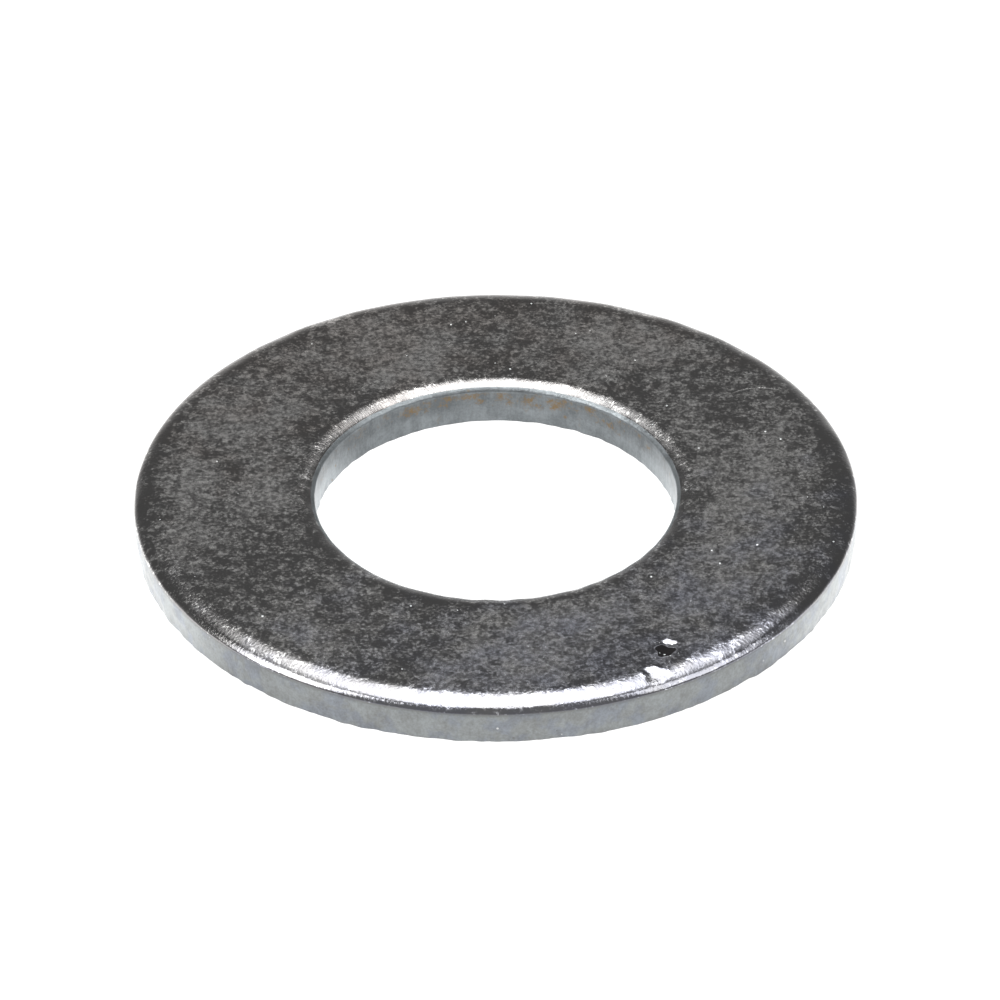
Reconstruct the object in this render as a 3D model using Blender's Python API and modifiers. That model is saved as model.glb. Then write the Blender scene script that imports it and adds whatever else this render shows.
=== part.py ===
"""Flat washer, blanked and pierced from thin steel sheet.

The washer lies on the XY plane with the axis of its hole on +Z, and the origin is the centre of the hole on the
bottom face. Both edges of the top face are rounded by the press, and both bottom edges are sharp. Metres.
"""

import math

import bmesh
import bpy

# Driving dimensions
HOLE_DIAMETER = 0.0105
OUTER_DIAMETER = 0.021
THICKNESS = 0.00125

# Rounding that the press leaves along the two upper edges: how far it reaches across the face and down the wall
OUTER_ROUND_WIDTH = 0.00089
OUTER_ROUND_DROP = 0.00028
HOLE_ROUND_WIDTH = 0.00071
HOLE_ROUND_DROP = 0.00022

# The lower part of the outer wall tears off during blanking and leans in slightly towards the bottom edge
TORN_HEIGHT = 0.45 * THICKNESS
TORN_LEAN = 0.00006

TURN_STEPS = 96
ROUND_STEPS = 5

ZINC_COLOUR = (0.42, 0.43, 0.45, 1.0)
ZINC_ROUGHNESS = 0.32
ZINC_METALLIC = 1.0


def clear_scene():
    """Removes every object that the file opened with."""
    for ob in list(bpy.data.objects):
        bpy.data.objects.remove(ob, do_unlink=True)


def new_collection(name):
    """Makes a collection in the scene."""
    collection = bpy.data.collections.new(name)
    bpy.context.scene.collection.children.link(collection)
    return collection


def zinc_material():
    """Bright zinc plating."""
    material = bpy.data.materials.new("zinc_plated_steel")
    material.use_nodes = True
    shader = material.node_tree.nodes["Principled BSDF"]
    shader.inputs["Base Color"].default_value = ZINC_COLOUR
    shader.inputs["Roughness"].default_value = ZINC_ROUGHNESS
    shader.inputs["Metallic"].default_value = ZINC_METALLIC
    return material


def quarter_ellipse(centre, width, height, start, end):
    """Points (radius, height) on an ellipse about centre, from the start angle to the end angle, both included."""
    points = []
    for step in range(ROUND_STEPS + 1):
        angle = start + (end - start) * step / ROUND_STEPS
        points.append((centre[0] + width * math.cos(angle), centre[1] + height * math.sin(angle)))
    return points


def washer_profile():
    """The cross-section as a closed loop of (radius, height): out along the top, down the outer wall, back along
    the bottom and up the wall of the hole."""
    outer = OUTER_DIAMETER / 2
    hole = HOLE_DIAMETER / 2
    outer_round = quarter_ellipse(
        (outer - OUTER_ROUND_WIDTH, THICKNESS - OUTER_ROUND_DROP),
        OUTER_ROUND_WIDTH, OUTER_ROUND_DROP, math.pi / 2, 0.0)
    hole_round = quarter_ellipse(
        (hole + HOLE_ROUND_WIDTH, THICKNESS - HOLE_ROUND_DROP),
        HOLE_ROUND_WIDTH, HOLE_ROUND_DROP, math.pi, math.pi / 2)
    torn_wall = [(outer, TORN_HEIGHT), (outer - TORN_LEAN, 0.0)]
    return outer_round + torn_wall + [(hole, 0.0)] + hole_round


def turned_ring(name, profile, collection, material):
    """Turns a closed profile in the XZ plane a full circle about Z."""
    mesh = bpy.data.meshes.new(name)
    shape = bmesh.new()
    corners = [shape.verts.new((radius, 0.0, height)) for radius, height in profile]
    for corner, following in zip(corners, corners[1:] + corners[:1]):
        shape.edges.new((corner, following))
    shape.to_mesh(mesh)
    shape.free()
    mesh.materials.append(material)
    ring = bpy.data.objects.new(name, mesh)
    collection.objects.link(ring)
    screw = ring.modifiers.new("turn", "SCREW")
    screw.axis = "Z"
    screw.angle = 2 * math.pi
    screw.steps = TURN_STEPS
    screw.render_steps = TURN_STEPS
    screw.use_merge_vertices = True
    screw.merge_threshold = 0.000001
    screw.use_smooth_shade = True
    return ring


def main():
    clear_scene()
    washer_parts = new_collection("flat_washer")
    turned_ring("flat_washer", washer_profile(), washer_parts, zinc_material())


main()
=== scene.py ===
"""Looks of a flat washer, blanked and pierced from sheet steel and zinc plated.

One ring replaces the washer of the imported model. It has the same sizes, and adds what the press and the
barrel leave: rounded upper edges, torn and ragged lower ones, a shallow waviness, three knocks and a
scratch. Its three finishes are the mottled faces, the cut outer wall and the pierced wall of the hole.
Everything is in metres, with the hole's axis on +Z.
"""

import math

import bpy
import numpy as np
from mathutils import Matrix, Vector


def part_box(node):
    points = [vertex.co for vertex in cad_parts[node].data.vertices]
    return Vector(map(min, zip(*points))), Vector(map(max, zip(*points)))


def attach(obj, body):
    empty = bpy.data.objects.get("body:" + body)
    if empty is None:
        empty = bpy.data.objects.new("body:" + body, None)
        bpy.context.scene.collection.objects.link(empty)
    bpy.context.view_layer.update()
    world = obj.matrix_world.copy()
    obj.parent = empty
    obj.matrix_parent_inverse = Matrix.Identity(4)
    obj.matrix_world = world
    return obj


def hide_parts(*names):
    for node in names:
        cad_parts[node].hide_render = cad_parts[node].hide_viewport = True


bl_info = {
    "name": "Flat Washer",
    "version": (1, 0, 0),
    "blender": (4, 5, 0),
    "location": "3D View > Sidebar > Washer",
    "description": "Builds a zinc plated flat washer and a plain stage for it",
    "category": "Add Mesh",
}

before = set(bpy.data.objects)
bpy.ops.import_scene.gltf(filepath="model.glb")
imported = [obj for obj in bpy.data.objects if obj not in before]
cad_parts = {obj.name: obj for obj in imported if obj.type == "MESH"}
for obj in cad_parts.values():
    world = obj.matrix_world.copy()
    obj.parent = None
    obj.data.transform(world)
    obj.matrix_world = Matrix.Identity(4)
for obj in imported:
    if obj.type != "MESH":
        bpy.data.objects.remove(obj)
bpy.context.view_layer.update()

MM = 0.001
NODE = "flat_washer"


def frame_radii():
    """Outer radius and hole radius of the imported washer: the largest and smallest distance of its points from
    its axis."""
    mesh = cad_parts[NODE].data
    points = np.zeros(len(mesh.vertices) * 3, np.float32)
    mesh.vertices.foreach_get("co", points)
    from_axis = np.hypot(points[0::3], points[1::3])
    return float(from_axis.max()), float(from_axis.min())


OUTER_RADIUS, HOLE_RADIUS = frame_radii()
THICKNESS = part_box(NODE)[1].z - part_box(NODE)[0].z

# How finely the ring is divided: round its axis, and along each stretch of its profile
ANGLE_STEPS = 1240
BOTTOM_STEPS = 5
TORN_STEPS = 8
LAND_STEPS = 5
OUTER_ROUND_STEPS = 16
KNOCKED_STEPS = 13
FACE_STEPS = 5
HOLE_ROUND_STEPS = 8
HOLE_LIP_STEPS = 4
HOLE_WALL_STEPS = 8

# Where the punch's burnish starts on the rounded edge of the hole, as an angle on its ellipse
HOLE_LIP = math.radians(147)

# Where the profile's stretches meet, and how the lower corners are held tight
KNOCKED_RADIUS = 8.68 * MM
CORNER = 0.018 * MM
LAND_BLEND = 0.25 * MM
BOTTOM_BLEND = 0.5 * MM

# Uneven lines round the ring: the strength of each, its fewest and most whole waves, and its seed
RING_LINES = {
    "outer_in": (0.9, 6, 40, 3), "outer_chips": (0.4, 40, 150, 5), "outer_up": (1.0, 12, 110, 7),
    "hole_in": (0.8, 4, 26, 11), "hole_chips": (0.5, 26, 90, 9), "hole_up": (1.0, 8, 60, 13),
    "round": (1.0, 4, 45, 23),
}

# Uneven fields in space: the shortest and longest wavelength of each, its number of waves and its seed
SPACE_FIELDS = {"torn": (0.18 * MM, 0.9 * MM, 90, 17), "face": (2.0 * MM, 9.0 * MM, 30, 19)}

# How far the ragged lower edges rise, as a share of how far they stray sideways
RAGGED_RISE = 0.8

# How far each rim's own look reaches across the face, in widths of its rounded edge
HOLE_RIM_REACH = 1.5
OUTER_RIM_REACH = 1.35

# Knocks: the hub of each on the washer, its radius, its depth and the height of the lip that it raised,
# all in millimetres, how far it is drawn out along X, and its share of painted shade, a near black that
# stands in for the shade inside the pit. They are a pit with painted shade, a bright dimple just beyond it
# and a shallow ding on the rounded edge.
KNOCKS = (
    {"place": (4.71, -7.93), "radius": 0.18, "depth": 0.050, "lip": 0.0, "stretch": 1.0, "painted_shade": 1.0},
    {"place": (4.84, -7.64), "radius": 0.18, "depth": 0.036, "lip": 0.0, "stretch": 1.1, "painted_shade": 0.0},
    {"place": (4.42, -9.00), "radius": 0.25, "depth": 0.030, "lip": 0.006, "stretch": 1.15, "painted_shade": 0.0},
)

# The uneven outline of a knock: the number of soft corners in each wave, its strength and its turn
KNOCK_CORNERS = ((3, 0.14, 1.0), (5, 0.10, 0.0))

# Where a knock's lip stands, how wide it is and how far its painted shade reaches, all in its own radii
LIP_PLACE = 1.35
LIP_WIDTH = 0.3
SHADE_REACH = 1.4

# How knocks fade down the rounded edge, as a power of how near the top it is
KNOCK_FADE = 0.25

# How much closer the angles stand about the knocks, over what angle, and in how many steps that is worked out
CROWDING = 1.6
CROWDED_ANGLE = 0.09
CROWDING_STEPS = 8 * ANGLE_STEPS

# The scratch: its centre of curvature, radius, half width, the X of its ends and how long each end fades
SCRATCH = {"centre": (7.88 * MM, 3.58 * MM), "radius": 1.49 * MM, "width": 0.03 * MM,
           "ends": (6.95 * MM, 8.65 * MM), "fades": (0.2 * MM, 0.3 * MM)}


# --------------------------------------------------------------------------------------------------
# Sizes and colours
# --------------------------------------------------------------------------------------------------


def length_property(name, description, default):
    """A length that the user may change, shown in the scene's units."""
    return bpy.props.FloatProperty(name=name, description=description, default=default, min=0.0, precision=5,
                                   subtype="DISTANCE", unit="LENGTH")


def share_property(name, description, default):
    """A share from 0 to 1."""
    return bpy.props.FloatProperty(name=name, description=description, default=default, min=0.0, max=1.0,
                                   subtype="FACTOR")


def colour_property(name, description, default):
    """A linear colour."""
    return bpy.props.FloatVectorProperty(name=name, description=description, default=default, min=0.0,
                                         max=1.0, size=3, subtype="COLOR")


def number_property(name, description, default):
    """A plain number that isn't negative."""
    return bpy.props.FloatProperty(name=name, description=description, default=default, min=0.0)


class WasherSizes(bpy.types.PropertyGroup):
    """Sizes of the washer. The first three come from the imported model."""

    outer_radius: length_property("Outer radius", "From the axis to the outer wall", OUTER_RADIUS)
    hole_radius: length_property("Hole radius", "From the axis to the wall of the hole", HOLE_RADIUS)
    thickness: length_property("Thickness", "From the bottom face to the top face", THICKNESS)
    outer_round_width: length_property("Outer round width", "Reach of the rounded outer edge across the face",
                                       0.89 * MM)
    outer_round_drop: length_property("Outer round drop", "Reach of the rounded outer edge down the wall",
                                      0.28 * MM)
    hole_round_width: length_property("Hole round width", "Reach of the rounded hole edge across the face",
                                      0.71 * MM)
    hole_round_drop: length_property("Hole round drop", "Reach of the rounded hole edge down the wall",
                                     0.22 * MM)
    torn_share: share_property("Torn share", "Share of the outer wall that tore instead of shearing", 0.45)
    torn_lean: length_property("Torn lean", "How far the torn wall leans in at the bottom", 0.06 * MM)
    hole_torn_share: share_property("Torn share of the hole", "Share of the hole's wall that tore", 0.3)
    ragged: length_property("Raggedness", "Typical unevenness of the lower edges", 0.011 * MM)
    torn_grain: length_property("Torn grain", "Typical roughness of the torn wall", 0.006 * MM)
    face_wave: length_property("Face waviness", "Typical unevenness of the faces", 0.004 * MM)
    round_wave: length_property("Edge waviness", "Typical unevenness of the rounded edges", 0.006 * MM)


class WasherFinish(bpy.types.PropertyGroup):
    """Colours and gloss of the plating."""

    bare: colour_property("Smooth zinc", "Plating where it is smooth and dark", (0.215, 0.211, 0.209))
    dull: colour_property("Dull zinc", "Plating in the paler patches", (0.93, 0.92, 0.90))
    blue: colour_property("Blue tinge", "Tinge of the blue passivation", (0.84, 0.87, 1.0))
    brown: colour_property("Brown tinge", "Tinge where the passivation is thin", (1.0, 0.955, 0.93))
    wall: colour_property("Cut wall", "Plating on the outer wall", (0.310, 0.330, 0.335))
    pierced: colour_property("Pierced wall", "Plating on the wall of the hole", (0.262, 0.284, 0.296))
    wall_dark: colour_property("Marks on the walls", "Darker marks on the outer wall", (0.15, 0.148, 0.142))
    rust: colour_property("Rust", "Rust showing through in the hole", (0.235, 0.165, 0.09))
    # Near black painted shade, standing in for the shade inside the pit
    painted_shade: colour_property("Shade", "Dirt held in the pit near the rim", (0.015, 0.014, 0.013))
    # Colour of the painted glints, white specks standing in for sparkles about the pit and here and there
    painted_glints: colour_property("Glints", "White crumbs about the pit and here and there", (0.62, 0.66, 0.66))
    smooth_gloss: share_property("Roughness of smooth zinc", "Roughness of the dark plating", 0.12)
    dull_gloss: share_property("Roughness of dull zinc", "Roughness of the paler patches", 0.15)
    wall_gloss: share_property("Roughness of the walls", "Roughness of the sheared walls", 0.42)


class WasherStage(bpy.types.PropertyGroup):
    """Floor, light and camera."""

    floor_colour: colour_property("Floor", "Colour of the floor's surface", (0.15, 0.15, 0.15))
    floor_glow: number_property("Floor glow", "Light that comes up through the floor", 1.05)
    side_glow: number_property("Side glow", "Light that comes up through the floor at both sides", 2.1)
    front_share: share_property("Front share", "Share of the floor's glow that is left in front", 0.35)
    light: number_property("Light", "Radiance of the overhead softbox", 5.4)
    far_horizon: number_property("Far horizon", "Radiance of the surroundings low down at the back", 0.7)
    far_sky: number_property("Far surroundings", "Radiance of the surroundings higher up at the back", 0.22)
    near_sky: number_property("Near surroundings", "Radiance of the surroundings towards the camera", 0.48)
    camera_elevation: bpy.props.FloatProperty(name="Camera elevation", description="Angle above the floor",
                                              default=math.radians(35.34), subtype="ANGLE")
    camera_roll: bpy.props.FloatProperty(name="Camera roll", description="Turn about the line of sight",
                                         default=math.radians(-0.355), subtype="ANGLE")
    camera_distance: length_property("Camera distance", "From the camera to what it looks at", 184.5 * MM)
    camera_lens: number_property("Lens", "Focal length in millimetres on a 36 mm sensor", 226.9)


# --------------------------------------------------------------------------------------------------
# The ring
# --------------------------------------------------------------------------------------------------


def ring_waves(angles, fewest, most, seed):
    """Uneven line round a ring: a sum of cosines with fewest to most whole waves, random strengths and
    random phases, scaled to a root mean square of one."""
    random = np.random.default_rng(seed)
    counts = np.arange(fewest, most + 1)
    strengths = random.normal(size=counts.size)
    phases = random.uniform(0, 2 * math.pi, counts.size)
    waves = np.cos(np.outer(angles, counts) + phases) @ strengths
    return waves / np.sqrt(np.mean(waves**2))


def ring_line(angles, name):
    """Named uneven line round the ring: its strength times its waves."""
    strength, fewest, most, seed = RING_LINES[name]
    return strength * ring_waves(angles, fewest, most, seed)


def space_waves(points, shortest, longest, amount, seed):
    """Uneven field in space: a sum of plane waves in random directions, with wavelengths from shortest
    to longest, scaled to a root mean square of one over the points."""
    random = np.random.default_rng(seed)
    directions = random.normal(size=(amount, 3))
    directions /= np.linalg.norm(directions, axis=1, keepdims=True)
    lengths = np.exp(random.uniform(math.log(shortest), math.log(longest), amount))
    phases = random.uniform(0, 2 * math.pi, amount)
    waves = np.cos(points @ (directions * (2 * math.pi / lengths[:, None])).T + phases) @ np.sqrt(lengths)
    return waves / np.sqrt(np.mean(waves**2))


def smooth_step(low, high, value):
    """Zero below low, one above high, and 3t squared less 2t cubed between. Low may be above high."""
    t = np.clip((value - low) / (high - low), 0, 1)
    return t * t * (3 - 2 * t)


def knock_distance(x, y, knock):
    """Distance from a knock's hub in its own radii, with an outline that soft corners make uneven."""
    right = (x - knock["place"][0] * MM) / knock["stretch"]
    ahead = y - knock["place"][1] * MM
    turn = np.arctan2(ahead, right)
    uneven = 1 + sum(strength * np.sin(count * turn + shift) for count, strength, shift in KNOCK_CORNERS)
    return np.hypot(right, ahead) / (knock["radius"] * MM * uneven)


def knock_depth(x, y):
    """Height added by the knocks: each is a bowl, minus depth times a bell curve, inside a lip, plus a
    narrower bell curve on a circle about it."""
    height = np.zeros_like(x)
    for knock in KNOCKS:
        away = knock_distance(x, y, knock)
        height -= knock["depth"] * MM * np.exp(-(away**4))
        height += knock["lip"] * MM * np.exp(-(((away - LIP_PLACE) / LIP_WIDTH) ** 2))
    return height


def knock_painted_shade(x, y):
    """How much painted shade each point gets, a near black standing in for the shade inside the pit: a bell
    curve about each knock that holds it.
    """
    return sum(knock["painted_shade"] * np.exp(-((knock_distance(x, y, knock) / SHADE_REACH) ** 6)) for knock in KNOCKS)


def spread_angles():
    """Angles round the ring, closer together about the knocks: evenly spaced values of the running sum
    of a density that is one plus a bell curve at the knocks."""
    x, y = KNOCKS[0]["place"]
    hub = math.atan2(y, x) % (2 * math.pi)
    even = np.linspace(0, 2 * math.pi, CROWDING_STEPS + 1)
    density = 1 + CROWDING * np.exp(-(((even - hub) / CROWDED_ANGLE) ** 2))
    running = np.concatenate([[0], np.cumsum((density[1:] + density[:-1]) / 2)])
    return np.interp(np.arange(ANGLE_STEPS) / ANGLE_STEPS, running / running[-1], even)


def quarter_round(centre, reach, start, end, steps):
    """Part of an ellipse about centre (radius, height): centre plus reach times cos and sin of its angle."""
    turn = np.linspace(start, end, steps + 1)
    return np.array(centre) + np.array(reach) * np.stack([np.cos(turn), np.sin(turn)], axis=1)


def line(start, end, steps):
    """Evenly spaced points (radius, height) from start to end."""
    return np.linspace(start, end, steps + 1)


def washer_profile(sizes):
    """Closed outline of the washer's section as points (radius, height), with the name of the stretch
    that starts at each point. It runs along the bottom from the hole, up the outer wall, over the face
    and down the hole."""
    outer, hole, top = sizes.outer_radius, sizes.hole_radius, sizes.thickness
    torn = sizes.torn_share * top
    foot = outer - sizes.torn_lean
    land_top = top - sizes.outer_round_drop
    outer_reach = (sizes.outer_round_width, sizes.outer_round_drop)
    hole_reach = (sizes.hole_round_width, sizes.hole_round_drop)
    outer_hub = (outer - outer_reach[0], land_top)
    hole_hub = (hole + hole_reach[0], top - hole_reach[1])
    right, up, left = 0, math.pi / 2, math.pi
    stretches = [
        ("bottom", line((hole, 0), (hole + CORNER, 0), 1)),
        ("bottom", line((hole + CORNER, 0), (hole + BOTTOM_BLEND, 0), 2)),
        ("bottom", line((hole + BOTTOM_BLEND, 0), (foot - BOTTOM_BLEND, 0), BOTTOM_STEPS)),
        ("bottom", line((foot - BOTTOM_BLEND, 0), (foot - CORNER, 0), 2)),
        ("bottom", line((foot - CORNER, 0), (foot, 0), 1)),
        ("outer_wall", line((foot, 0), (foot, CORNER), 1)),
        ("outer_wall", line((foot, CORNER), (outer, torn), TORN_STEPS)),
        ("outer_wall", line((outer, torn), (outer, land_top), LAND_STEPS)),
        ("outer_round", quarter_round(outer_hub, outer_reach, right, up, OUTER_ROUND_STEPS)),
        ("face", line((outer_hub[0], top), (KNOCKED_RADIUS, top), KNOCKED_STEPS)),
        ("face", line((KNOCKED_RADIUS, top), (hole_hub[0], top), FACE_STEPS)),
        ("hole_round", quarter_round(hole_hub, hole_reach, up, HOLE_LIP, HOLE_ROUND_STEPS)),
        ("hole_lip", quarter_round(hole_hub, hole_reach, HOLE_LIP, left, HOLE_LIP_STEPS)),
        ("hole_wall", line((hole, hole_hub[1]), (hole, CORNER), HOLE_WALL_STEPS)),
        ("hole_wall", line((hole, CORNER), (hole, 0), 1)),
    ]
    points = np.concatenate([stretch[:-1] for _, stretch in stretches])
    names = np.concatenate([[name] * (len(stretch) - 1) for name, stretch in stretches])
    return points, names


def uneven_ring(sizes):
    """Vertices of the washer as an array (angle, profile point, XYZ), with the profile and its names.

    Each point is the profile turned to its angle. To its radius and height are added, each with a weight
    that is one where it acts and fades out along the profile: the ragged lines of the two lower edges,
    the grain of the torn wall, a slow wave of the faces and rounded edges, and the knocks."""
    angles = spread_angles()
    profile, names = washer_profile(sizes)
    radius = np.tile(profile[:, 0], (ANGLE_STEPS, 1))
    height = np.tile(profile[:, 1], (ANGLE_STEPS, 1))
    flat = np.stack([radius * np.cos(angles)[:, None], radius * np.sin(angles)[:, None], height], axis=2)

    torn_top = sizes.torn_share * sizes.thickness
    hole_torn_top = sizes.hole_torn_share * sizes.thickness
    foot = sizes.outer_radius - sizes.torn_lean
    outer_half = profile[:, 0] > (sizes.outer_radius + sizes.hole_radius) / 2
    at_outer = np.where(outer_half, smooth_step(foot - BOTTOM_BLEND, foot - CORNER, profile[:, 0]), 0)
    at_outer = at_outer * smooth_step(torn_top, CORNER, profile[:, 1])
    near_hole = smooth_step(sizes.hole_radius + BOTTOM_BLEND, sizes.hole_radius + CORNER, profile[:, 0])
    at_hole = np.where(outer_half, 0, near_hole)
    at_hole = at_hole * smooth_step(hole_torn_top, CORNER, profile[:, 1])

    outer_in = ring_line(angles, "outer_in") + ring_line(angles, "outer_chips")
    outer_up = np.logaddexp(0, ring_line(angles, "outer_up"))
    hole_in = ring_line(angles, "hole_in") + ring_line(angles, "hole_chips")
    hole_up = np.logaddexp(0, ring_line(angles, "hole_up"))
    radius += sizes.ragged * (np.outer(outer_in, at_outer) - np.outer(hole_in, at_hole))
    height += RAGGED_RISE * sizes.ragged * (np.outer(outer_up, at_outer) + np.outer(hole_up, at_hole))

    low_wall = smooth_step(torn_top + LAND_BLEND, torn_top - LAND_BLEND, profile[:, 1])
    torn = np.where(names == "outer_wall", low_wall, 0)
    radius += sizes.torn_grain * torn * space_waves(flat, *SPACE_FIELDS["torn"])

    on_top = smooth_step(sizes.thickness - sizes.outer_round_drop, sizes.thickness, profile[:, 1])
    height += sizes.face_wave * on_top * space_waves(flat, *SPACE_FIELDS["face"])
    on_round = np.isin(names, ("outer_round", "hole_round", "hole_lip")) * 4 * on_top * (1 - on_top)
    height += sizes.round_wave * np.outer(ring_line(angles, "round"), on_round)

    x, y = radius * np.cos(angles)[:, None], radius * np.sin(angles)[:, None]
    height += knock_depth(x, y) * on_top**KNOCK_FADE
    return np.stack([x, y, height], axis=2), angles, profile, names


def ring_faces(rings, points):
    """Corner numbers of the quads of a grid that closes both round the ring and round the profile. Each
    quad is vertex (i, j), the next angle, the next angle and profile point, and the next profile
    point."""
    i, j = np.meshgrid(np.arange(rings), np.arange(points), indexing="ij")
    ahead, along = (i + 1) % rings, (j + 1) % points
    return np.stack([i * points + j, ahead * points + j, ahead * points + along, i * points + along], axis=2)


def grid_mesh(name, vertices, corners, finish_numbers):
    """Mesh of an array of vertices and an array of quads, smooth, with a finish number for each quad."""
    mesh = bpy.data.meshes.new(name)
    quads = corners.reshape(-1, 4)
    mesh.vertices.add(vertices.size // 3)
    mesh.vertices.foreach_set("co", vertices.astype(np.float32).ravel())
    mesh.loops.add(quads.size)
    mesh.loops.foreach_set("vertex_index", quads.astype(np.int32).ravel())
    mesh.polygons.add(len(quads))
    mesh.polygons.foreach_set("loop_start", np.arange(0, quads.size, 4, dtype=np.int32))
    mesh.polygons.foreach_set("material_index", finish_numbers.astype(np.int32).ravel())
    mesh.update(calc_edges=True)
    mesh.validate()
    mesh.shade_smooth()
    return mesh


def edge_coordinates(angles, profile):
    """Position of each vertex as if the profile were straightened upwards from the outer wall: outer
    radius times the cosine and the sine of its angle, and its distance along the profile."""
    steps = np.hypot(*np.diff(profile, axis=0, append=profile[:1]).T)
    along = np.tile(np.concatenate([[0], np.cumsum(steps)[:-1]]), (angles.size, 1))
    radius = profile[:, 0].max()
    round_x = np.tile((radius * np.cos(angles))[:, None], (1, len(profile)))
    round_y = np.tile((radius * np.sin(angles))[:, None], (1, len(profile)))
    return np.stack([round_x, round_y, along], axis=2)


def rim_share(profile, sizes):
    """How near each profile point is to a rounded edge: one on the rounded edge and fading out across
    the face."""
    inner_end = sizes.hole_radius + HOLE_RIM_REACH * sizes.hole_round_width
    outer_end = sizes.outer_radius - OUTER_RIM_REACH * sizes.outer_round_width
    inner = smooth_step(inner_end, sizes.hole_radius, profile[:, 0])
    outer = smooth_step(outer_end, sizes.outer_radius, profile[:, 0])
    return np.maximum(inner, outer)


def add_attribute(mesh, name, kind, field, values):
    """Writes one value for each vertex."""
    attribute = mesh.attributes.new(name, kind, "POINT")
    attribute.data.foreach_set(field, values.astype(np.float32).ravel())


# The finish of each stretch of the profile: 0 is the face's, 1 the cut wall's and 2 the hole wall's
FINISH_OF = {"bottom": 0, "outer_round": 0, "face": 0, "hole_round": 0, "outer_wall": 1, "hole_lip": 2,
             "hole_wall": 2}


def washer_mesh(sizes):
    """The ring's mesh, with the attributes that its finishes read."""
    vertices, angles, profile, names = uneven_ring(sizes)
    corners = ring_faces(angles.size, len(profile))
    numbers = np.tile([FINISH_OF[name] for name in names], angles.size)
    mesh = grid_mesh("washer_ring", vertices, corners, numbers)
    add_attribute(mesh, "edge_coord", "FLOAT_VECTOR", "vector", edge_coordinates(angles, profile))
    add_attribute(mesh, "rim", "FLOAT", "value", np.tile(rim_share(profile, sizes), angles.size))
    # Painted shade of the pit, which the face's finish turns near black
    add_attribute(mesh, "painted_shade", "FLOAT", "value", knock_painted_shade(vertices[:, :, 0], vertices[:, :, 1]))
    return mesh


# --------------------------------------------------------------------------------------------------
# Node helpers
# --------------------------------------------------------------------------------------------------


def feed(tree, socket, value):
    """Links value to socket where it is another node's socket, and otherwise sets it."""
    if isinstance(value, bpy.types.NodeSocket):
        tree.links.new(value, socket)
    else:
        socket.default_value = value


def add_node(tree, kind, inputs=None, **settings):
    """Adds a node, sets its settings, then feeds its inputs, which are named or numbered."""
    node = tree.nodes.new(kind)
    for name, value in settings.items():
        setattr(node, name, value)
    for key, value in (inputs or {}).items():
        feed(tree, node.inputs[key], value)
    return node


def calc(tree, operation, first, second=0.0):
    """One step of arithmetic on numbers."""
    return add_node(tree, "ShaderNodeMath", {0: first, 1: second}, operation=operation).outputs[0]


def plus(tree, first, second):
    """First plus second."""
    return calc(tree, "ADD", first, second)


def minus(tree, first, second):
    """First less second."""
    return calc(tree, "SUBTRACT", first, second)


def times(tree, first, second):
    """First times second."""
    return calc(tree, "MULTIPLY", first, second)


def greater(tree, first, second):
    """The greater of two numbers."""
    return calc(tree, "MAXIMUM", first, second)


def inverse(tree, value):
    """One over a number."""
    return calc(tree, "DIVIDE", 1.0, value)


def noise(tree, vector, scale, detail=2.0, roughness=0.5):
    """Value of a noise texture, about one half."""
    inputs = {"Vector": vector, "Scale": scale, "Detail": detail, "Roughness": roughness}
    return add_node(tree, "ShaderNodeTexNoise", inputs).outputs[0]


def ramp(tree, value, low, high, start=0.0, end=1.0):
    """Smooth rise from start to end as value goes from low to high."""
    inputs = {"Value": value, "From Min": low, "From Max": high, "To Min": start, "To Max": end}
    settings = {"interpolation_type": "SMOOTHSTEP", "clamp": True}
    return add_node(tree, "ShaderNodeMapRange", inputs, **settings).outputs[0]


def middle(tree, value):
    """A noise sharpened about its middle."""
    return ramp(tree, value, 0.36, 0.64)


def blend(tree, share, first, second, how="MIX"):
    """Mixes two colours by a share."""
    node = add_node(tree, "ShaderNodeMix", {}, data_type="RGBA", blend_type=how, clamp_factor=True)
    feed(tree, node.inputs["Factor"], share)
    feed(tree, node.inputs[6], first)
    feed(tree, node.inputs[7], second)
    return node.outputs[2]


def level(tree, share, first, second):
    """Mixes two numbers by a share."""
    node = add_node(tree, "ShaderNodeMix", {}, data_type="FLOAT", clamp_factor=True)
    feed(tree, node.inputs["Factor"], share)
    feed(tree, node.inputs[2], first)
    feed(tree, node.inputs[3], second)
    return node.outputs[0]


def object_vector(tree):
    """Object coordinates."""
    return add_node(tree, "ShaderNodeTexCoord").outputs["Object"]


def axes(tree, vector):
    """The X, Y and Z of a vector."""
    return add_node(tree, "ShaderNodeSeparateXYZ", {0: vector}).outputs


def distance(tree, vector, place):
    """How far a vector is from a place."""
    inputs = {0: vector, 1: place}
    return add_node(tree, "ShaderNodeVectorMath", inputs, operation="DISTANCE").outputs["Value"]


def attribute(tree, name, output):
    """A value that the mesh holds."""
    settings = {"attribute_name": name, "attribute_type": "GEOMETRY"}
    return add_node(tree, "ShaderNodeAttribute", **settings).outputs[output]


def opaque(colour):
    """A colour with its alpha."""
    return (*colour, 1.0)


def new_group(name, inputs, outputs):
    """An empty shader node group with the named sockets, given as (name, kind, default)."""
    group = bpy.data.node_groups.new(name, "ShaderNodeTree")
    for label, kind, default in inputs:
        socket = group.interface.new_socket(name=label, in_out="INPUT", socket_type=kind)
        if default is not None:
            socket.default_value = default
    for label, kind in outputs:
        group.interface.new_socket(name=label, in_out="OUTPUT", socket_type=kind)
    return group, group.nodes.new("NodeGroupInput"), group.nodes.new("NodeGroupOutput")


NUMBER, VECTOR = "NodeSocketFloat", "NodeSocketVector"


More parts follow.
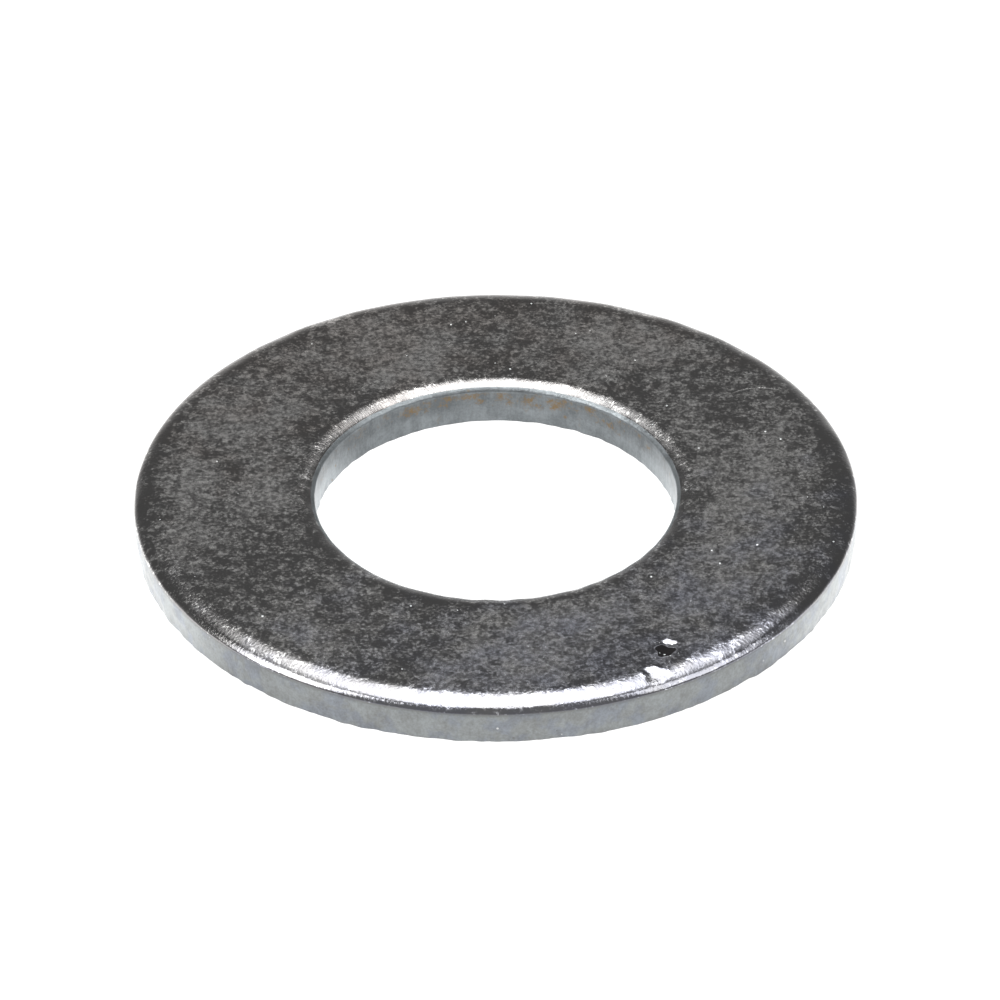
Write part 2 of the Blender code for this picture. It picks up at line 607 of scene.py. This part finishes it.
def use_group(tree, group, **inputs):
    """Places a group. Input names are given with underscores for spaces."""
    node = tree.nodes.new("ShaderNodeGroup")
    node.node_tree = group
    for key, value in inputs.items():
        feed(tree, node.inputs[key.replace("_", " ")], value)
    return node.outputs


# --------------------------------------------------------------------------------------------------
# Effects that the finishes share
# --------------------------------------------------------------------------------------------------

# The share of grain in the mottle, and how widely a noise strays about one half
GRAIN_SHARE = 0.38
NOISE_SPREAD = 0.2


def mottle_group():
    """Cloudy patches broken up by a fine grain, as dull spots on plating. Coverage is about the share
    that is dull."""
    group, given, out = new_group(
        "plating_mottle",
        (("Vector", VECTOR, None), ("Patch Size", NUMBER, 0.001), ("Grain Size", NUMBER, 0.0001),
         ("Coverage", NUMBER, 0.5), ("Softness", NUMBER, 0.06)),
        (("Patches", NUMBER), ("Grain", NUMBER)),
    )
    given = given.outputs
    patch = noise(group, given["Vector"], inverse(group, given["Patch Size"]), detail=5.0, roughness=0.66)
    grain = noise(group, given["Vector"], inverse(group, given["Grain Size"]), detail=2.0, roughness=0.55)
    mixed = plus(group, times(group, patch, 1 - GRAIN_SHARE), times(group, grain, GRAIN_SHARE))
    edge = plus(group, 0.5, times(group, minus(group, 0.5, given["Coverage"]), NOISE_SPREAD))
    low = minus(group, edge, given["Softness"])
    high = plus(group, edge, given["Softness"])
    feed(group, out.inputs["Patches"], ramp(group, mixed, low, high))
    feed(group, out.inputs["Grain"], grain)
    return group


def specks_group():
    """Scattered round specks: in each cell of the given spacing, a share of the cells hold a soft round
    spot. Its radius, in spacings, is half to one and a half times the given one."""
    group, given, out = new_group(
        "scattered_specks",
        (("Vector", VECTOR, None), ("Spacing", NUMBER, 0.0005), ("Radius", NUMBER, 0.2),
         ("Share", NUMBER, 0.3)),
        (("Specks", NUMBER),),
    )
    given = given.outputs
    inputs = {"Vector": given["Vector"], "Scale": inverse(group, given["Spacing"])}
    cells = add_node(group, "ShaderNodeTexVoronoi", inputs).outputs
    draws = add_node(group, "ShaderNodeSeparateColor", {"Color": cells["Color"]}).outputs
    radius = times(group, given["Radius"], plus(group, 0.5, draws[1]))
    spot = ramp(group, cells["Distance"], radius, times(group, radius, 0.5))
    chosen = calc(group, "LESS_THAN", draws[0], given["Share"])
    feed(group, out.inputs["Specks"], times(group, spot, chosen))
    return group


def marks_group():
    """Fine drawn marks: a noise stretched by the Stretch vector, sharpened about its middle."""
    group, given, out = new_group(
        "drawn_marks",
        (("Vector", VECTOR, None), ("Size", NUMBER, 0.0001), ("Stretch", VECTOR, (1.0, 1.0, 0.2))),
        (("Marks", NUMBER),),
    )
    given = given.outputs
    inputs = {0: given["Vector"], 1: given["Stretch"]}
    drawn = add_node(group, "ShaderNodeVectorMath", inputs, operation="MULTIPLY").outputs[0]
    lines = noise(group, drawn, inverse(group, given["Size"]), detail=3.0, roughness=0.6)
    feed(group, out.inputs["Marks"], middle(group, lines))
    return group


# --------------------------------------------------------------------------------------------------
# Finishes
# --------------------------------------------------------------------------------------------------


# Sizes of the patterns: about the width of one cloud, patch, grain or mark
FACE_CLOUD = 2.4 * MM
FACE_PATCH = 0.28 * MM
FACE_GRAIN = 0.09 * MM
FACE_TONE = 0.16 * MM
FACE_TINGE = 1.2 * MM
FACE_STREAK = 0.07 * MM
WALL_CLOUD = 0.6 * MM
WALL_TINGE = 0.8 * MM
WALL_MARK = 0.16 * MM
HOLE_CLOUD = 0.9 * MM
HOLE_MARK = 0.10 * MM
HOLE_RUST = 0.40 * MM
WALL_GRAIN = 0.07 * MM

# Heights of the roughness that the finishes emboss
FACE_BUMP = 0.0028 * MM
WALL_BUMP = 0.006 * MM
HOLE_BUMP = 0.004 * MM

# How strongly the tinge of the face turns from brown to blue per metre towards +X and +Y, and by chance
TINGE_ALONG_X = 25.0
TINGE_ALONG_Y = -60.0
TINGE_CHANCE = 1.4

# Roughness of the pit's painted shade and of rust, and how smooth the drawn marks of the outer wall are
# beside the rest
SHADE_GLOSS = 0.9
RUST_GLOSS = 0.6
MARK_GLOSS = 0.8

# Painted glints, white specks standing in for sparkles, lie all about the pit up to the first distance from
# its hub, and none lie past the second
SPARKLES_FULL = 0.35 * MM
SPARKLES_END = 0.6 * MM


def new_finish(name):
    """A metal material, with its tree and its shader."""
    material = bpy.data.materials.new(name)
    material.use_nodes = True
    shader = material.node_tree.nodes["Principled BSDF"]
    shader.inputs["Metallic"].default_value = 1.0
    return material, material.node_tree, shader


def tinged(tree, share, metal, colour):
    """A colour multiplied by a tinge, by a share."""
    return blend(tree, share, metal, blend(tree, 1.0, metal, opaque(colour), "MULTIPLY"))


def emboss(tree, shader, height, depth):
    """Makes the shader's surface rise by height, a number, times depth."""
    bump = add_node(tree, "ShaderNodeBump", {"Strength": 1.0, "Distance": depth, "Height": height})
    feed(tree, shader.inputs["Normal"], bump.outputs[0])


def scratch_line(tree, vector, parts):
    """Share of a fine curved scratch at the back right: near one where the distance from its centre of
    curvature is its radius, between its two ends, and nothing elsewhere or on the underside."""
    centre = (*SCRATCH["centre"], THICKNESS)
    off = calc(tree, "ABSOLUTE", minus(tree, distance(tree, vector, centre), SCRATCH["radius"]))
    across = ramp(tree, off, SCRATCH["width"], 0.0)
    (left, right), (left_fade, right_fade) = SCRATCH["ends"], SCRATCH["fades"]
    after_left = ramp(tree, parts[0], left, left + left_fade)
    before_right = ramp(tree, parts[0], right, right - right_fade)
    behind = calc(tree, "GREATER_THAN", parts[1], centre[1])
    on_top = calc(tree, "GREATER_THAN", parts[2], THICKNESS / 2)
    along = times(tree, after_left, before_right)
    return times(tree, times(tree, across, along), times(tree, behind, on_top))


def face_painted_glints(tree, vector, groups):
    """Share of painted glints, white specks standing in for sparkles, which crowd about the pit, and of the
    sparse specks that lie all over the face, which the face's finish also raises as bumps."""
    pit = (KNOCKS[0]["place"][0] * MM, KNOCKS[0]["place"][1] * MM, THICKNESS)
    near = ramp(tree, distance(tree, vector, pit), SPARKLES_END, SPARKLES_FULL)
    sparkles = use_group(tree, groups["specks"], Vector=vector, Spacing=0.13 * MM, Radius=0.22, Share=0.45)
    sparks = use_group(tree, groups["specks"], Vector=vector, Spacing=0.22 * MM, Radius=0.13, Share=0.05)
    painted_glints = greater(tree, times(tree, sparks["Specks"], 0.7), times(tree, sparkles["Specks"], near))
    return painted_glints, sparks["Specks"]


def face_finish(finish, groups):
    """Mottled plating of the faces and rounded edges: dark smooth zinc with paler, rougher patches that
    thin out towards the rims, a blue tinge at the front and right, a brown one at the back left, a fine
    sparkling grain, a scratch, painted shade in the pit, and painted glints, white specks standing in for
    sparkles, about it and here and there."""
    material, tree, shader = new_finish("mottled_zinc")
    vector = object_vector(tree)
    parts = axes(tree, vector)
    rim = attribute(tree, "rim", "Fac")
    painted_shade = attribute(tree, "painted_shade", "Fac")
    scratch = scratch_line(tree, vector, parts)
    painted_glints, sparks = face_painted_glints(tree, vector, groups)

    cloud = noise(tree, vector, 1 / FACE_CLOUD)
    coverage = minus(tree, ramp(tree, cloud, 0.3, 0.7, start=0.3, end=0.8), times(tree, rim, 0.6))
    mottle = use_group(tree, groups["mottle"], Vector=vector, Patch_Size=FACE_PATCH, Grain_Size=FACE_GRAIN,
                       Coverage=coverage, Softness=0.08)
    fine = noise(tree, vector, 1 / FACE_TONE, detail=4.0, roughness=0.7)
    tone = times(tree, mottle["Patches"], ramp(tree, fine, 0.34, 0.66, start=0.2))
    tone = greater(tree, tone, times(tree, scratch, 0.9))
    metal = blend(tree, tone, opaque(finish.bare), opaque(finish.dull))
    # Painted shade: inside the pit the colour turns near black, a plain dark diffuse, standing in for the shade
    # there
    black = ramp(tree, painted_shade, 0.0, 0.3)
    metal = blend(tree, black, metal, opaque(finish.painted_shade))

    front = plus(tree, times(tree, parts[0], TINGE_ALONG_X), times(tree, parts[1], TINGE_ALONG_Y))
    front = plus(tree, front, times(tree, noise(tree, vector, 1 / FACE_TINGE), TINGE_CHANCE))
    metal = tinged(tree, ramp(tree, front, 0.8, 1.6), metal, finish.blue)
    metal = tinged(tree, ramp(tree, front, 0.6, -0.1), metal, finish.brown)
    # Painted glints: white specks blended into the colour, standing in for sparkles
    feed(tree, shader.inputs["Base Color"], blend(tree, painted_glints, metal, opaque(finish.painted_glints)))

    gloss = level(tree, mottle["Patches"], finish.smooth_gloss, finish.dull_gloss)
    feed(tree, shader.inputs["Roughness"], level(tree, ramp(tree, painted_shade, 0.3, 0.9), gloss, SHADE_GLOSS))
    feed(tree, shader.inputs["Metallic"], minus(tree, 1.0, greater(tree, black, painted_glints)))
    shader.inputs["Specular IOR Level"].default_value = 0.0

    edge = attribute(tree, "edge_coord", "Vector")
    streaks = use_group(tree, groups["marks"], Vector=edge, Size=FACE_STREAK, Stretch=(1.0, 1.0, 0.55))
    on_rim = ramp(tree, rim, 0.25, 0.8, end=0.6)
    height = plus(tree, mottle["Grain"], times(tree, streaks["Marks"], on_rim))
    height = plus(tree, height, times(tree, sparks, 1.5))
    height = minus(tree, height, times(tree, scratch, 0.9))
    emboss(tree, shader, height, FACE_BUMP)
    return material


def grained_share(tree, grain, clouds, marks):
    """Share of the darker plating of a wall: clouds and marks, each already weighted, and a fine
    grain."""
    return plus(tree, plus(tree, clouds, marks), times(tree, ramp(tree, grain, 0.3, 0.7), 0.25))


def cut_wall_finish(finish, groups):
    """Outer wall: satin grey with faint cloudy patches and slanting marks, dark and pale specks, and a
    darker line along the top."""
    material, tree, shader = new_finish("cut_zinc")
    vector = object_vector(tree)
    edge = attribute(tree, "edge_coord", "Vector")
    clouds = middle(tree, noise(tree, vector, 1 / WALL_CLOUD, detail=5.0, roughness=0.68))
    marks = use_group(tree, groups["marks"], Vector=edge, Size=WALL_MARK, Stretch=(1.0, 1.0, 0.45))["Marks"]
    grain = noise(tree, vector, 1 / WALL_GRAIN, detail=2.0, roughness=0.6)
    share = grained_share(tree, grain, times(tree, clouds, 0.28), times(tree, marks, 0.2))

    ragged_height = plus(tree, axes(tree, vector)[2], times(tree, grain, 0.16 * MM))
    # Darker towards the top of the wall, along a ragged line
    darker_top = ramp(tree, ragged_height, 0.86 * MM, 1.06 * MM, end=0.7)
    specks = use_group(tree, groups["specks"], Vector=vector, Spacing=0.4 * MM, Radius=0.13, Share=0.22)
    share = greater(tree, greater(tree, share, darker_top), times(tree, specks["Specks"], 0.8))
    metal = blend(tree, share, opaque(finish.wall), opaque(finish.wall_dark))

    tinge = noise(tree, vector, 1 / WALL_TINGE, detail=3.0, roughness=0.6)
    metal = tinged(tree, ramp(tree, tinge, 0.45, 0.6, end=0.6), metal, finish.blue)
    pale = use_group(tree, groups["specks"], Vector=edge, Spacing=0.3 * MM, Radius=0.10, Share=0.16)
    metal = blend(tree, times(tree, pale["Specks"], 0.5), metal, opaque(finish.dull))
    feed(tree, shader.inputs["Base Color"], metal)
    gloss = level(tree, marks, finish.wall_gloss, MARK_GLOSS * finish.wall_gloss)
    feed(tree, shader.inputs["Roughness"], gloss)
    emboss(tree, shader, grain, WALL_BUMP)
    return material


def hole_wall_finish(finish, groups):
    """Wall of the hole: satin grey with faint clouds and upright marks from the punch, darker in its
    upper part, and fine rust specks that crowd together high up at the back."""
    material, tree, shader = new_finish("pierced_zinc")
    vector = object_vector(tree)
    parts = axes(tree, vector)
    clouds = middle(tree, noise(tree, vector, 1 / HOLE_CLOUD, detail=4.0, roughness=0.65))
    marks = use_group(tree, groups["marks"], Vector=vector, Size=HOLE_MARK, Stretch=(1.0, 1.0, 0.2))["Marks"]
    grain = noise(tree, vector, 1 / WALL_GRAIN, detail=2.0, roughness=0.6)
    share = grained_share(tree, grain, times(tree, clouds, 0.45), times(tree, marks, 0.15))
    upper = ramp(tree, parts[2], 0.35 * MM, 0.75 * MM, end=0.4)
    below_lip = ramp(tree, parts[2], 1.08 * MM, 0.95 * MM)
    share = plus(tree, share, times(tree, upper, below_lip))
    shade = [0.5 * part for part in finish.pierced]
    metal = blend(tree, share, opaque(finish.pierced), opaque(shade))

    high = ramp(tree, parts[2], 0.30 * MM, 0.80 * MM, end=0.13)
    lip = ramp(tree, parts[2], 0.98 * MM, 1.10 * MM, end=0.16)
    back = ramp(tree, parts[1], 1.5 * MM, 4.8 * MM, end=0.09)
    crowd = noise(tree, vector, 1 / HOLE_RUST, detail=5.0, roughness=0.8)
    crowd = plus(tree, crowd, plus(tree, high, back))
    rust = ramp(tree, minus(tree, crowd, lip), 0.69, 0.86, end=0.9)
    specks = use_group(tree, groups["specks"], Vector=vector, Spacing=0.4 * MM, Radius=0.14, Share=0.22)
    rust = greater(tree, rust, times(tree, specks["Specks"], 0.6))
    feed(tree, shader.inputs["Base Color"], blend(tree, rust, metal, opaque(finish.rust)))
    feed(tree, shader.inputs["Roughness"], level(tree, rust, finish.wall_gloss, RUST_GLOSS))
    emboss(tree, shader, plus(tree, grain, marks), HOLE_BUMP)
    return material


class WASHER_OT_add_washer(bpy.types.Operator):
    """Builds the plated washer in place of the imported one"""

    bl_idname = "washer.add_washer"
    bl_label = "Add Washer"

    def execute(self, context):
        finish = context.scene.washer_finish
        groups = {"mottle": mottle_group(), "specks": specks_group(), "marks": marks_group()}
        washer = bpy.data.objects.new("plated_washer", washer_mesh(context.scene.washer_sizes))
        context.collection.objects.link(washer)
        for material in (face_finish(finish, groups), cut_wall_finish(finish, groups),
                         hole_wall_finish(finish, groups)):
            washer.data.materials.append(material)
        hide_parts(NODE)
        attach(washer, "root")
        return {"FINISHED"}


# --------------------------------------------------------------------------------------------------
# The stage
# --------------------------------------------------------------------------------------------------


# Where the lights stand, how large the floor is and how far below the washer, and what the camera looks
# at
LIGHT_DISTANCE = 300 * MM
FLOOR_SIZE = 800 * MM
FLOOR_GAP = 0.01 * MM
LOOK_AT = (0.123 * MM, 1.167 * MM, 0.0)

# Where the floor's glow turns from plain to its side strength, as the share of X in the distance from
# the axis, and where it fades in front, as distances from the washer's outer wall
SIDE_START = 0.68
SIDE_FULL = 0.95
FRONT_START = 1.2 * MM
FRONT_FULL = 4 * MM

# Heights over which the surroundings darken, and how far towards +Y they count as beyond the washer, as
# the Z and the Y of a direction
HORIZON_END = math.sin(math.radians(8))
SKY_START = math.sin(math.radians(20))
NEAR_END = -0.1
BEYOND_START = 0.4

WHITE = (1.0, 1.0, 1.0, 1.0)
SENSOR_WIDTH = 36.0
CLIP_START = 10 * MM
CLIP_END = 2000 * MM


def panel_length(angle):
    """Length that an angle in degrees spans at the lights' distance."""
    return 2 * LIGHT_DISTANCE * math.tan(math.radians(angle) / 2)


def add_panel_light(context, radiance, name, shape, centre, end, length, width, share):
    """A flat light that faces the washer from the direction of centre, with its length running towards
    the direction of end. Length and width are angles in degrees as the washer sees them. Its power is
    its share of the radiance, times pi times its area."""
    light = bpy.data.lights.new(name, "AREA")
    light.shape = shape
    light.size = panel_length(width)
    light.size_y = panel_length(length)
    area = light.size * light.size_y * (math.pi / 4 if shape == "ELLIPSE" else 1)
    light.energy = share * radiance * math.pi * area
    out = Vector(centre).normalized()
    along = (Vector(end) - Vector(end).dot(out) * out).normalized()
    across = along.cross(out)
    panel = bpy.data.objects.new(name, light)
    turn = Matrix((across, along, out)).transposed().to_4x4()
    panel.matrix_world = Matrix.Translation(out * LIGHT_DISTANCE) @ turn
    context.collection.objects.link(panel)


def sight(turn, from_zenith):
    """Direction of a point in the surroundings, by its turn from +X towards +Y and its angle from
    straight up."""
    turn, fall = math.radians(turn), math.radians(from_zenith)
    return (math.cos(turn) * math.sin(fall), math.sin(turn) * math.sin(fall), math.cos(fall))


# The lights: a round softbox with its wider spill, above and beyond the washer, and a long one at each
# side that leans over it. Each has its share of the stage's light.
LIGHTS = (
    {"name": "overhead_softbox", "shape": "ELLIPSE", "centre": sight(90, 19), "end": (0, 1, 0),
     "length": 41, "width": 38, "share": 0.75},
    {"name": "overhead_spill", "shape": "ELLIPSE", "centre": sight(90, 20), "end": (0, 1, 0),
     "length": 44, "width": 56, "share": 0.25},
    {"name": "left_softbox", "shape": "RECTANGLE", "centre": sight(196, 46), "end": sight(205, 72),
     "length": 48, "width": 28, "share": 1.2},
    {"name": "right_softbox", "shape": "RECTANGLE", "centre": sight(-18, 45), "end": sight(-32, 79),
     "length": 44, "width": 28, "share": 0.7},
)


def add_world(context, stage):
    """Surroundings: bright near the horizon and dark above. The camera sees them as plain white."""
    world = bpy.data.worlds.new("studio")
    world.use_nodes = True
    tree = world.node_tree
    tree.nodes.clear()
    direction = add_node(tree, "ShaderNodeTexCoord").outputs["Generated"]
    parts = axes(tree, direction)
    high = ramp(tree, parts[2], HORIZON_END, SKY_START)
    beyond = level(tree, high, stage.far_horizon, stage.far_sky)
    strength = level(tree, ramp(tree, parts[1], NEAR_END, BEYOND_START), stage.near_sky, beyond)
    seen = add_node(tree, "ShaderNodeLightPath").outputs["Is Camera Ray"]
    surroundings = add_node(tree, "ShaderNodeBackground", {"Color": WHITE, "Strength": strength})
    backdrop = add_node(tree, "ShaderNodeBackground", {"Color": WHITE, "Strength": 1.0})
    inputs = {0: seen, 1: surroundings.outputs[0], 2: backdrop.outputs[0]}
    mixed = add_node(tree, "ShaderNodeMixShader", inputs)
    add_node(tree, "ShaderNodeOutputWorld", {"Surface": mixed.outputs[0]})
    context.scene.world = world


def add_floor(context, stage):
    """A square of pale floor just below the washer: an opal sheet lit from below, so that hardly any
    shadow shows. The washer gets more of its glow at both sides and less from the front. The camera sees
    it evenly lit."""
    half = FLOOR_SIZE / 2
    corners = np.array([(-half, -half), (half, -half), (half, half), (-half, half)])
    mesh = bpy.data.meshes.new("floor")
    mesh.from_pydata(np.column_stack([corners, np.full(4, -FLOOR_GAP)]).tolist(), [], [(0, 1, 2, 3)])
    floor = bpy.data.objects.new("floor", mesh)
    context.collection.objects.link(floor)
    material = bpy.data.materials.new("pale_floor")
    material.use_nodes = True
    shader = material.node_tree.nodes["Principled BSDF"]
    shader.inputs["Base Color"].default_value = opaque(stage.floor_colour)
    shader.inputs["Roughness"].default_value = 0.9
    shader.inputs["Specular IOR Level"].default_value = 0.0
    shader.inputs["Emission Color"].default_value = WHITE
    tree = material.node_tree
    vector = object_vector(tree)
    parts = axes(tree, vector)
    away = add_node(tree, "ShaderNodeVectorMath", {0: vector}, operation="LENGTH").outputs["Value"]
    sideways = calc(tree, "DIVIDE", calc(tree, "ABSOLUTE", parts[0]), away)
    glow = level(tree, ramp(tree, sideways, SIDE_START, SIDE_FULL), stage.floor_glow, stage.side_glow)
    front = ramp(tree, parts[1], -OUTER_RADIUS - FRONT_START, -OUTER_RADIUS - FRONT_FULL, start=1.0,
                 end=stage.front_share)
    seen = add_node(tree, "ShaderNodeLightPath").outputs["Is Camera Ray"]
    glow = level(tree, seen, times(tree, glow, front), stage.floor_glow)
    feed(tree, shader.inputs["Emission Strength"], glow)
    mesh.materials.append(material)


def add_camera(context, stage):
    """Camera in front of the washer, above it by the elevation, looking just behind its axis."""
    camera = bpy.data.cameras.new("camera")
    camera.lens = stage.camera_lens
    camera.sensor_width = SENSOR_WIDTH
    camera.clip_start = CLIP_START
    camera.clip_end = CLIP_END
    elevation = stage.camera_elevation
    away = stage.camera_distance * Vector((0.0, -math.cos(elevation), math.sin(elevation)))
    tilt = Matrix.Rotation(math.pi / 2 - elevation, 4, "X")
    roll = Matrix.Rotation(stage.camera_roll, 4, "Z")
    viewer = bpy.data.objects.new("camera", camera)
    viewer.matrix_world = Matrix.Translation(Vector(LOOK_AT) + away) @ tilt @ roll
    context.collection.objects.link(viewer)
    context.scene.camera = viewer


class WASHER_OT_add_stage(bpy.types.Operator):
    """Adds the floor, the lights, the surroundings and the camera"""

    bl_idname = "washer.add_stage"
    bl_label = "Add Stage"

    def execute(self, context):
        stage = context.scene.washer_stage
        add_floor(context, stage)
        add_world(context, stage)
        for light in LIGHTS:
            add_panel_light(context, stage.light, **light)
        add_camera(context, stage)
        context.scene.view_settings.view_transform = "Standard"
        return {"FINISHED"}


class WASHER_PT_panel(bpy.types.Panel):
    """Lists the pieces and the stage"""

    bl_label = "Flat Washer"
    bl_space_type = "VIEW_3D"
    bl_region_type = "UI"
    bl_category = "Washer"

    def draw(self, context):
        for group, operator in (("washer_sizes", None), ("washer_finish", WASHER_OT_add_washer.bl_idname),
                                ("washer_stage", WASHER_OT_add_stage.bl_idname)):
            box = self.layout.box()
            settings = getattr(context.scene, group)
            for name in settings.__annotations__:
                box.prop(settings, name)
            if operator:
                box.operator(operator)


CLASSES = (WasherSizes, WasherFinish, WasherStage, WASHER_OT_add_washer, WASHER_OT_add_stage, WASHER_PT_panel)
SETTINGS = {"washer_sizes": WasherSizes, "washer_finish": WasherFinish, "washer_stage": WasherStage}


def register():
    """Registers the classes and gives each scene its settings."""
    for cls in CLASSES:
        bpy.utils.register_class(cls)
    for name, kind in SETTINGS.items():
        setattr(bpy.types.Scene, name, bpy.props.PointerProperty(type=kind))


def unregister():
    """Takes everything that register added away."""
    for name in SETTINGS:
        delattr(bpy.types.Scene, name)
    for cls in reversed(CLASSES):
        bpy.utils.unregister_class(cls)


def main():
    """Builds the washer and its stage."""
    register()
    bpy.ops.washer.add_washer()
    bpy.ops.washer.add_stage()


if __name__ == "__main__":
    main()
